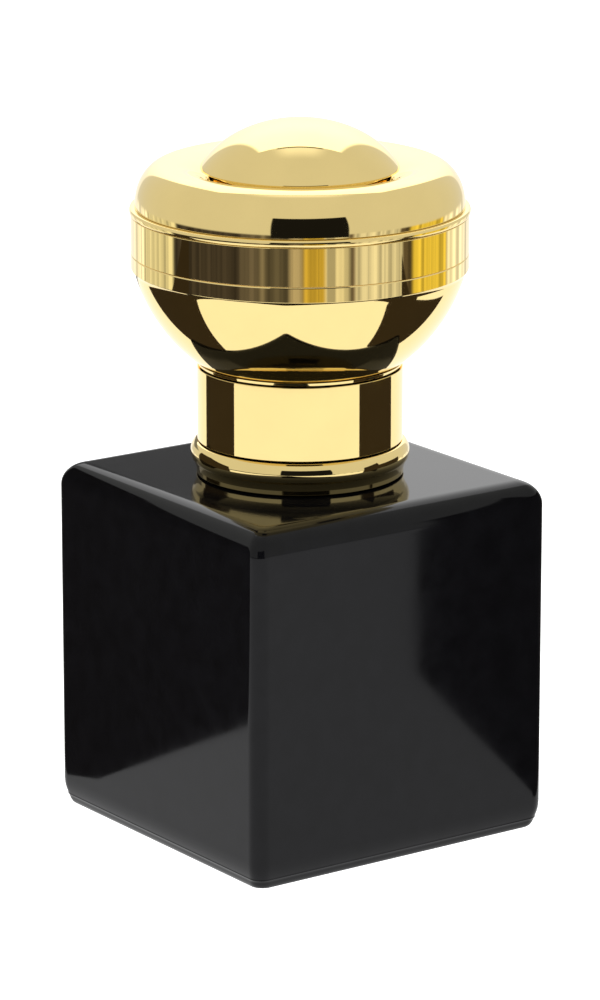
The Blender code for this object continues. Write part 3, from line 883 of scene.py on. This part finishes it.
def upright(name, start, end, bottom, top, color, strength):
    """Stand a card on edge between two points of the studio floor."""
    corners = ((*start, bottom), (*end, bottom), (*end, top), (*start, top))
    return four_sided(name, corners, color, strength)


def sloped(name, left, right, near, far, color, strength):
    """Hang a card between a near edge and a far edge, each given as its depth and height."""
    corners = ((left, *near), (right, *near), (right, *far), (left, *far))
    return four_sided(name, corners, color, strength)


def build_floor():
    """Pale floor, bright enough to fade into the backdrop. Reflections see the sheet instead."""
    mesh = bpy.data.meshes.new("floor")
    plane = bmesh.new()
    bmesh.ops.create_grid(plane, x_segments=1, y_segments=1, size=4.0)
    plane.to_mesh(mesh)
    plane.free()
    material, _, shader = new_material("floor", (0.9, 0.9, 0.9), 0.0)
    shader.inputs["Roughness"].default_value = 0.9
    shader.inputs["Specular IOR Level"].default_value = 0.0
    shader.inputs["Emission Color"].default_value = (1, 1, 1, 1)
    shader.inputs["Emission Strength"].default_value = 0.75
    mesh.materials.append(material)
    floor = bpy.data.objects.new("floor", mesh)
    bpy.context.scene.collection.objects.link(floor)
    floor.location.z = -0.05 * MM
    floor.visible_glossy = False


def build_cards():
    """White sheet under the bottle, black flags just out of the picture and a shade behind."""
    floor_disc("sheet", SHEET_RADIUS, WHITE, SHEET_LIGHT)
    upright("flag_left", (-0.055, 0.005), (-0.205, -0.052), 0, FLAG_TOP, WARM, FLAG_LIGHT)
    upright("flag_left_back", (-0.055, 0.005), (-0.057, 0.027), 0, FLAG_TOP, WARM, FLAG_LIGHT)
    upright("flag_right", (0.057, -0.013), (0.120, -0.055), 0, FLAG_TOP, WARM, FLAG_LIGHT)
    upright("flag_right_back", (0.057, -0.013), (0.060, 0.021), 0, 0.069, WARM, FLAG_LIGHT)
    sloped("shade", -0.064, 0.009, (0.043, 0.0808), (0.080, 0.0730), WHITE, SHADE_LIGHT)


# ---------------------------------------------------------------- surroundings and camera


def calculate(tree, operation, first, second):
    """Add a maths node."""
    node = tree.nodes.new("ShaderNodeMath")
    node.operation = operation
    for socket, value in zip(node.inputs, (first, second)):
        if isinstance(value, (int, float)):
            socket.default_value = value
        else:
            tree.links.new(value, socket)
    return node.outputs["Value"]


def step(tree, value, low, high):
    """Soft step from 0 to 1 between two values."""
    node = tree.nodes.new("ShaderNodeMapRange")
    node.interpolation_type = "SMOOTHSTEP"
    node.inputs["From Min"].default_value = low
    node.inputs["From Max"].default_value = high
    tree.links.new(value, node.inputs["Value"])
    return node.outputs["Result"]


def blend(tree, factor, first, second):
    """Mix two colours, each a constant or another node's output."""
    node = tree.nodes.new("ShaderNodeMix")
    node.data_type = "RGBA"
    tree.links.new(factor, node.inputs["Factor"])
    for socket, value in (("A", first), ("B", second)):
        if isinstance(value, tuple):
            node.inputs[socket].default_value = value
        else:
            tree.links.new(value, node.inputs[socket])
    return node.outputs["Result"]


def inside(tree, first, first_edge, second, second_edge):
    """1 where both values have passed their soft edges."""
    return calculate(tree, "MULTIPLY", step(tree, first, *first_edge), step(tree, second, *second_edge))


def direction(tree):
    """Direction of a reflected ray in the studio's frame, and its bearing clockwise from the camera."""
    coordinates = tree.nodes.new("ShaderNodeTexCoord")
    turned = tree.nodes.new("ShaderNodeVectorRotate")
    turned.rotation_type = "Z_AXIS"
    turned.inputs["Angle"].default_value = -CAMERA_AZIMUTH
    tree.links.new(coordinates.outputs["Generated"], turned.inputs["Vector"])
    axes = tree.nodes.new("ShaderNodeSeparateXYZ")
    tree.links.new(turned.outputs["Vector"], axes.inputs["Vector"])
    toward = calculate(tree, "MULTIPLY", axes.outputs["Y"], -1)
    bearing = calculate(tree, "ARCTAN2", axes.outputs["X"], toward)
    return axes.outputs["X"], axes.outputs["Y"], axes.outputs["Z"], bearing


def room_stripes(tree, bearing):
    """Furniture of the room round the studio, as stripes of colour along the horizon."""
    ramp = tree.nodes.new("ShaderNodeValToRGB")
    elements = ramp.color_ramp.elements
    while len(elements) > 1:
        elements.remove(elements[-1])
    elements[0].position = 0
    elements[0].color = (*ROOM_STRIPES[0][1], 1)
    for (_, before), (edge, color) in zip(ROOM_STRIPES, ROOM_STRIPES[1:]):
        place = (edge + 180) / 360
        elements.new(place - STRIPE_EDGE).color = (*before, 1)
        elements.new(place + STRIPE_EDGE).color = (*color, 1)
    turn_share = calculate(tree, "MULTIPLY_ADD", bearing, 1 / (2 * math.pi))
    turn_share.node.inputs[2].default_value = 0.5
    tree.links.new(turn_share, ramp.inputs["Fac"])
    streaks = tree.nodes.new("ShaderNodeTexNoise")
    streaks.noise_dimensions = "1D"
    streaks.inputs["Scale"].default_value = 60
    streaks.inputs["Detail"].default_value = 3
    tree.links.new(turn_share, streaks.inputs["W"])
    strength = tree.nodes.new("ShaderNodeMapRange")
    strength.inputs["From Min"].default_value = 0.35
    strength.inputs["From Max"].default_value = 0.65
    strength.inputs["To Min"].default_value = 0.65
    strength.inputs["To Max"].default_value = 1.30
    tree.links.new(streaks.outputs["Fac"], strength.inputs["Value"])
    shaded = tree.nodes.new("ShaderNodeVectorMath")
    shaded.operation = "SCALE"
    tree.links.new(ramp.outputs["Color"], shaded.inputs[0])
    tree.links.new(strength.outputs["Result"], shaded.inputs["Scale"])
    return shaded.outputs["Vector"]


def build_world():
    """White for the camera. Reflections see a bright backdrop, a pale tent, a dark window and the room."""
    world = bpy.data.worlds.new("studio")
    bpy.context.scene.world = world
    world.use_nodes = True
    tree = world.node_tree
    tree.nodes.clear()
    sideways, back, up, bearing = direction(tree)

    far_floor = blend(tree, step(tree, back, *FAR_FLOOR_FADE), FLOOR_BEYOND, BACKDROP_LOW)
    room = blend(tree, step(tree, up, *FLOOR_FADE), far_floor, room_stripes(tree, bearing))
    tent = blend(tree, step(tree, up, *HORIZON_FADE), room, TENT)
    window_width = inside(tree, bearing, WINDOW_SIDES[0], bearing, WINDOW_SIDES[1])
    window_height = inside(tree, up, WINDOW_HEIGHTS[0], up, WINDOW_HEIGHTS[1])
    window = calculate(tree, "MULTIPLY", window_width, window_height)
    aside = calculate(tree, "ABSOLUTE", sideways, 0)
    overhead = inside(tree, aside, OVERHEAD_EDGES[0], back, OVERHEAD_EDGES[1])
    gap = inside(tree, aside, GAP_EDGES[0], back, GAP_EDGES[1])
    backdrop = inside(tree, aside, BACKDROP_EDGES[0], back, BACKDROP_EDGES[1])
    glow = blend(tree, step(tree, up, *BACKDROP_FADE), BACKDROP_LOW, BACKDROP_HIGH)
    light = blend(tree, window, tent, WINDOW)
    light = blend(tree, overhead, light, OVERHEAD)
    light = blend(tree, gap, light, TENT_GAP)
    light = blend(tree, backdrop, light, glow)

    background = tree.nodes.new("ShaderNodeBackground")
    tree.links.new(light, background.inputs["Color"])
    plain = tree.nodes.new("ShaderNodeBackground")
    plain.inputs["Color"].default_value = (1, 1, 1, 1)
    path = tree.nodes.new("ShaderNodeLightPath")
    mix = tree.nodes.new("ShaderNodeMixShader")
    tree.links.new(path.outputs["Is Camera Ray"], mix.inputs["Fac"])
    tree.links.new(background.outputs["Background"], mix.inputs[1])
    tree.links.new(plain.outputs["Background"], mix.inputs[2])
    output = tree.nodes.new("ShaderNodeOutputWorld")
    tree.links.new(mix.outputs["Shader"], output.inputs["Surface"])


def build_camera():
    """Long lens at the object's three-quarter view."""
    camera = bpy.data.objects.new("camera", bpy.data.cameras.new("camera"))
    bpy.context.scene.collection.objects.link(camera)
    camera.location = (
        CAMERA_DISTANCE * math.sin(CAMERA_AZIMUTH),
        -CAMERA_DISTANCE * math.cos(CAMERA_AZIMUTH),
        CAMERA_HEIGHT,
    )
    camera.rotation_euler = (math.pi / 2 - CAMERA_PITCH, 0, CAMERA_AZIMUTH)
    camera.data.lens = CAMERA_LENS
    camera.data.sensor_width = 36
    bpy.context.scene.camera = camera


# ---------------------------------------------------------------- scene

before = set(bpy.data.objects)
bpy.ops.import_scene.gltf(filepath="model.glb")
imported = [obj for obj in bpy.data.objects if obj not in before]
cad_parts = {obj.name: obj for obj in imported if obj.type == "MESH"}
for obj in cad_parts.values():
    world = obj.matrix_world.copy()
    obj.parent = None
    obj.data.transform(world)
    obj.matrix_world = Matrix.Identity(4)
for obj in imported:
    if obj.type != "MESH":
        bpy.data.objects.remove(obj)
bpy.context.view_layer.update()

gold = polished_metal("gold_polished", GOLD, 0.035, 0.10)
silver = polished_metal("aluminium_satin", SILVER, 0.25, 0.4)
steel = polished_metal("steel_wire", STEEL, 0.25, 0.4)
glass = gloss_glass()
black_plastic = moulded_plastic("black_plastic_satin", BLACK_PLASTIC, 0.35)
white_plastic = moulded_plastic("white_plastic_satin", WHITE_PLASTIC, 0.40)
clear_plastic = moulded_plastic("milky_plastic", CLEAR_PLASTIC, 0.25)
rubber = moulded_plastic("rubber_matt", GREY_RUBBER, 0.7)
iron = cast_metal("iron_tumbled", IRON, 0.5)

build_bottle(glass)
build_collar(gold, black_plastic)
build_ferrule(silver)
build_stem(white_plastic)
build_spring(steel)
build_actuator(gold, black_plastic)
build_cap_shell(gold)
build_cap_top(gold)
build_cap_liner(black_plastic)

dress("neck_gasket", rubber)
dress("stem_seal", rubber)
dress("pump_housing", white_plastic)
dress("dip_tube", clear_plastic)
dress("piston", white_plastic)
dress("inlet_ball", steel)
dress("cap_core", black_plastic)
dress("cap_weight", iron)

studio = bpy.data.objects.new("studio", None)
bpy.context.scene.collection.objects.link(studio)
studio.rotation_euler.z = CAMERA_AZIMUTH
build_floor()
build_cards()
build_world()
build_camera()
bpy.context.scene.view_settings.view_transform = "Standard"
